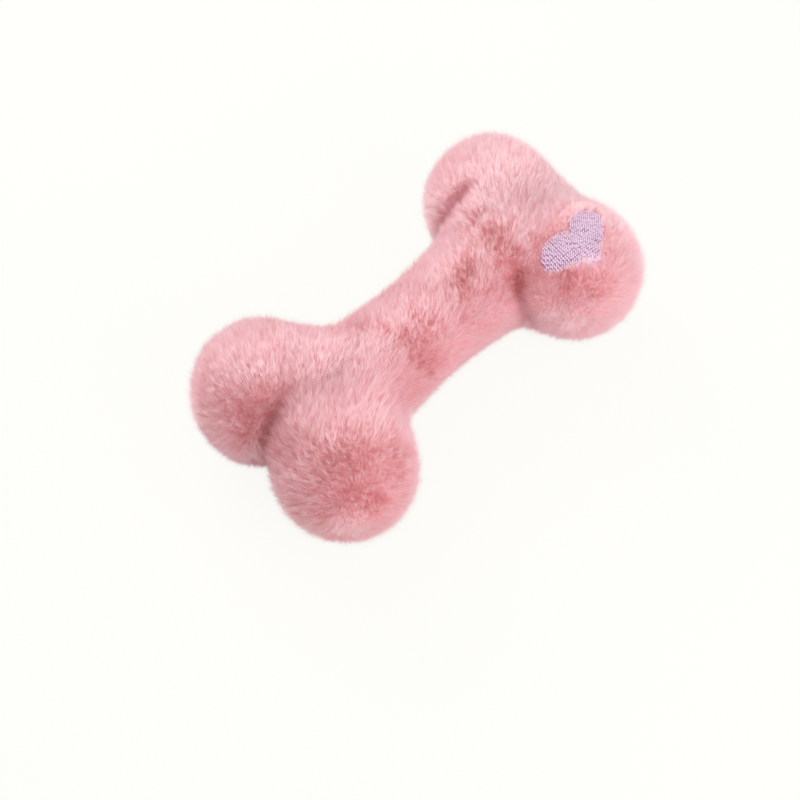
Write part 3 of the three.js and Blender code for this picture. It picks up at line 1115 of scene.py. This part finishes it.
def stuffCovers():
    fibre = fibrefill()
    homes = {"shaft": ["shaft"], "left_end": ["left_rear", "left_front"],
             "right_end": ["right_rear", "heart_lobe"], "press": ["press"]}
    names = {node: lobe for lobe, node in coverNames.items()}
    for body, parts in homes.items():
        for part in parts:
            piece = newPiece(f"{names.get(part, part)}Wad", makeWad(f"{part}_filling"), fibre)
            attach(piece, body)
            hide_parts(f"{part}_filling")
    print("covers stuffed")


stuffCovers()


# Squeaker: a moulded bellows with rounded pleats, and finishes for its hard parts

bellows = {"pleats": 4, "depth": 2.2, "wall": 1.0, "steps": 6, "turns": 48}
squeakerLook = {"cloud": 6.0, "peel": 0.7, "slit": 0.4, "point": 0.9}  # sizes of its finishes' patterns


# Low-density polyethylene, blow moulded: milky and waxy, with a soft broad gloss and faint flow marks.
def milkyPolyethylene():
    material, tree = newMaterial("milkyPolyethylene")
    place = addNode(tree, "ShaderNodeTexCoord")
    cloud = addNode(tree, "ShaderNodeTexNoise", inputs={
        "Vector": place.outputs["Object"], "Scale": 1 / (squeakerLook["cloud"] * mm), "Detail": 2.0})
    shade = addNode(tree, "ShaderNodeValToRGB", inputs={"Fac": cloud.outputs["Fac"]})
    setRamp(shade, [(0.3, "#e6e3d9"), (0.7, "#f4f2ec")])
    gloss = addNode(tree, "ShaderNodeMapRange", inputs={
        "Value": cloud.outputs["Fac"], "To Min": 0.38, "To Max": 0.52})
    shader = addNode(tree, "ShaderNodeBsdfPrincipled", inputs={
        "Base Color": shade.outputs["Color"], "Roughness": gloss.outputs["Result"], "IOR": 1.51,
        "Subsurface Weight": 0.2, "Subsurface Radius": (0.002, 0.002, 0.0018)})
    showSurface(tree, shader)
    return material


# Polystyrene, injection moulded: hard pale blue with a clean gloss and a fine orange-peel ripple.
def bluePolystyrene():
    return patternedFinish(
        "bluePolystyrene", "ShaderNodeTexNoise", {"Scale": 1 / (squeakerLook["peel"] * mm), "Detail": 1.0},
        [(0.2, "#c6d6e3"), (0.8, "#d2e0eb")], {"Roughness": 0.22, "IOR": 1.59}, (0.1, 0.05))


# Polyester film: a stiff thin strip, milky, with a sharp gloss and fine lines from the slitting.
def polyesterFilm():
    return patternedFinish(
        "polyesterFilm", "ShaderNodeTexWave",
        {"Scale": 1 / (2 * math.pi * squeakerLook["slit"] * mm), "Distortion": 0.5},
        [(0.0, "#e3e1db"), (1.0, "#efede8")], {"Roughness": 0.15, "IOR": 1.64},
        settings={"bands_direction": "X"})


# Spun-bonded stabiliser behind the embroidery: thin white felt with a speckle of pressed points.
def spunStabiliser():
    return patternedFinish(
        "spunStabiliser", "ShaderNodeTexVoronoi", {"Scale": 1 / (squeakerLook["point"] * mm)},
        [(0.0, "#e2dfd9"), (0.6, "#f6f5f2")], {"Roughness": 0.9}, (0.4, 0.15))


def makeBellows():
    low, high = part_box("bellows_wall")
    middle, radius = (low + high) / 2, (high.x - low.x) / 2
    count = bellows["pleats"] * bellows["steps"]
    bm = bmesh.new()
    outer, inner = [], []
    for i in range(count + 1):
        dip = (0.5 - 0.5 * math.cos(2 * math.pi * i / bellows["steps"])) * bellows["depth"] * mm
        level = low.z + (high.z - low.z) * i / count
        outer.append(bm.verts.new((middle.x + radius - dip, middle.y, level)))
        inner.append(bm.verts.new((middle.x + radius - dip - bellows["wall"] * mm, middle.y, level)))
    ring = outer + inner[::-1]
    edges = [bm.edges.new(pair) for pair in zip(ring, ring[1:] + ring[:1])]
    bmesh.ops.spin(bm, geom=ring + edges, cent=middle, axis=(0, 0, 1), angle=2 * math.pi,
                   steps=bellows["turns"], use_merge=True)
    bmesh.ops.remove_doubles(bm, verts=bm.verts, dist=weld)
    bmesh.ops.recalc_face_normals(bm, faces=bm.faces)
    return meshFrom(bm, "squeakerBellows"), low


def fitSqueaker():
    shell, whistle = milkyPolyethylene(), bluePolystyrene()
    mesh, foot = makeBellows()
    piece = newPiece("squeakerBellows", mesh, shell)
    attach(piece, "right_end")
    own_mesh(piece)
    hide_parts("bellows_wall")
    finishes = {"squeaker_base": shell, "bellows_crown": shell, "whistle_barrel": whistle,
                "reed_clip": whistle, "reed_tongue": polyesterFilm(), "heart_backing": spunStabiliser()}
    for node, material in finishes.items():
        frame["nodes"][node].material_slots[0].material = material


fitSqueaker()


# Studio: a white card floor under soft light

studio = {
    "floor": 4000.0,        # from its middle to an edge
    "card": "#f4f3f0",
    "white": "#fffffb",
    "lift": 0.92,           # how much of the plain white the camera sees over the lit card
    "sky": 0.61,
    "lamps": {              # watts, place and size
        "softKey": (4.6, (160.0, 800.0, 440.0), 600.0),
        "softFill": (3.2, (60.0, -700.0, 280.0), 600.0),
    },
}


def whiteCard():
    material, tree = newMaterial("whiteCard")
    rays = addNode(tree, "ShaderNodeLightPath")
    lift = addNode(tree, "ShaderNodeMath", {"operation": "MULTIPLY"},
                   {0: rays.outputs["Is Camera Ray"], 1: studio["lift"]})
    card = addNode(tree, "ShaderNodeBsdfPrincipled", inputs={
        "Base Color": linearColour(studio["card"]), "Roughness": 0.9, "Specular IOR Level": 0.1})
    white = addNode(tree, "ShaderNodeEmission", inputs={"Color": linearColour(studio["white"])})
    seen = addNode(tree, "ShaderNodeMixShader", inputs={
        0: lift.outputs[0], 1: card.outputs[0], 2: white.outputs[0]})
    showSurface(tree, seen)
    return material


def makeStudio():
    bm = bmesh.new()
    bmesh.ops.create_grid(bm, x_segments=1, y_segments=1, size=studio["floor"] * mm)
    newPiece("floorCard", meshFrom(bm, "floorCard"), whiteCard())
    world = bpy.data.worlds.new("studio")
    scene.world = world
    world.use_nodes = True
    tree = world.node_tree
    tree.nodes.clear()
    rays = addNode(tree, "ShaderNodeLightPath")
    sharp = addNode(tree, "ShaderNodeMath", {"operation": "MAXIMUM"},
                    {0: rays.outputs["Is Camera Ray"], 1: rays.outputs["Is Glossy Ray"]})
    direct = addNode(tree, "ShaderNodeMath", {"operation": "MAXIMUM"},
                     {0: sharp.outputs[0], 1: rays.outputs["Is Transmission Ray"]})
    soft = addNode(tree, "ShaderNodeBackground", inputs={
        "Color": linearColour("#ffffff"), "Strength": studio["sky"]})
    white = addNode(tree, "ShaderNodeBackground", inputs={
        "Color": linearColour(studio["white"]), "Strength": 1.0})
    both = addNode(tree, "ShaderNodeMixShader", inputs={
        0: direct.outputs[0], 1: soft.outputs[0], 2: white.outputs[0]})
    addNode(tree, "ShaderNodeOutputWorld", inputs={"Surface": both.outputs[0]})
    for name, (power, place, size) in studio["lamps"].items():
        data = bpy.data.lights.new(name, "AREA")
        data.energy = power
        data.size = size * mm
        lamp = bpy.data.objects.new(name, data)
        lamp.location = Vector(place) * mm
        lamp.rotation_mode = "QUATERNION"
        lamp.rotation_quaternion = (-Vector(place)).to_track_quat("-Z", "Y")
        scene.collection.objects.link(lamp)


makeStudio()
print("studio lit")
